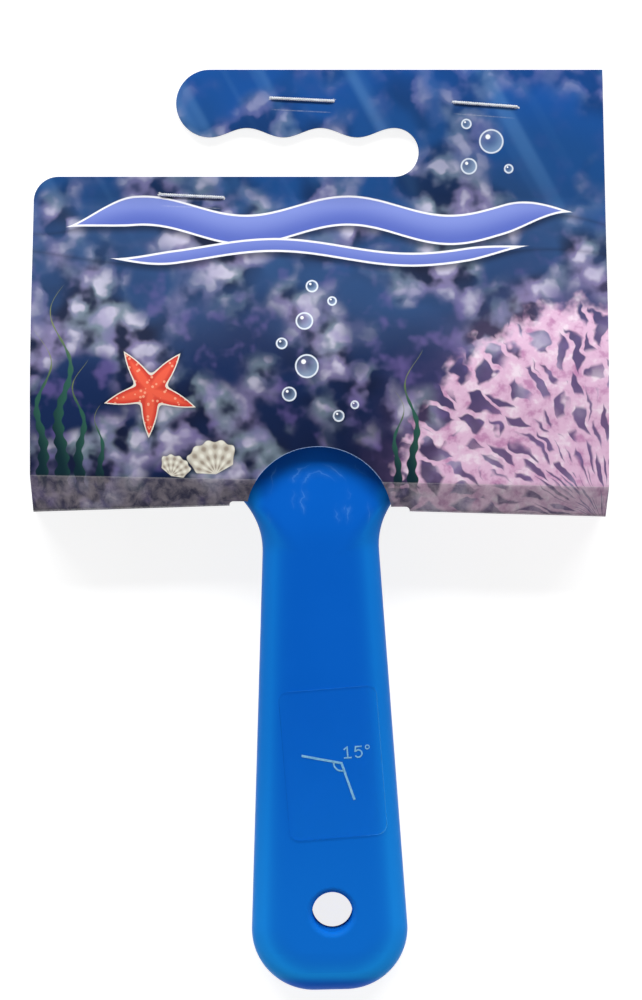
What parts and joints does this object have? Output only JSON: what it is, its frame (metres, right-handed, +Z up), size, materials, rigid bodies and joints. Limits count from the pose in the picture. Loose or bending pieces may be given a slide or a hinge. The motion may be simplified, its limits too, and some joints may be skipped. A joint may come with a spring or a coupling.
{
  "type": "algae scraper in a hang card",
  "caption": "Hand scraper for aquarium glass: bent plastic handle with a hanging hole, forked head with a magnet-held sliding steel blade, head wrapped in a stapled hang card.",
  "frame": {"origin": "middle of the outline on the surface that it lies on", "axes": "+X across the blade, +Y from the handle's free end to the hang tab, +Z up to the printed front"},
  "size_m": [0.1148, 0.1846, 0.0208],
  "materials": {
    "blue_plastic": "smooth moulded, satin gloss",
    "black_magnet": "dull sintered ferrite",
    "blade_steel": "rolled strip with a ground edge",
    "clear_film": "clear gloss film",
    "printed_card": "coated card, gloss print",
    "plain_card": "coated card",
    "staple_wire": "galvanised wire"
  },
  "bodies": {
    "scraper": {"handle_moulding": "blue_plastic", "magnet_bar": "black_magnet", "handle_label": "clear_film"},
    "blade": {"blade": "blade_steel"},
    "card_wrap": {"card_front_panel": "printed_card", "card_back_panel": "plain_card", "card_base_left": "printed_card", "card_base_right": "printed_card", "staple_tab": "staple_wire", "staple_right": "staple_wire", "staple_left": "staple_wire"}
  },
  "joints": [
    {"name": "blade_slide", "type": "slide", "parent": "scraper", "child": "blade", "axis": [0.9997, 0.0236, 0], "range_m": [0, 0.104]},
    {"name": "wrap_slide", "type": "slide", "parent": "scraper", "child": "card_wrap", "axis": [0, -1, 0], "range_m": [0, 0.003]}
  ]
}
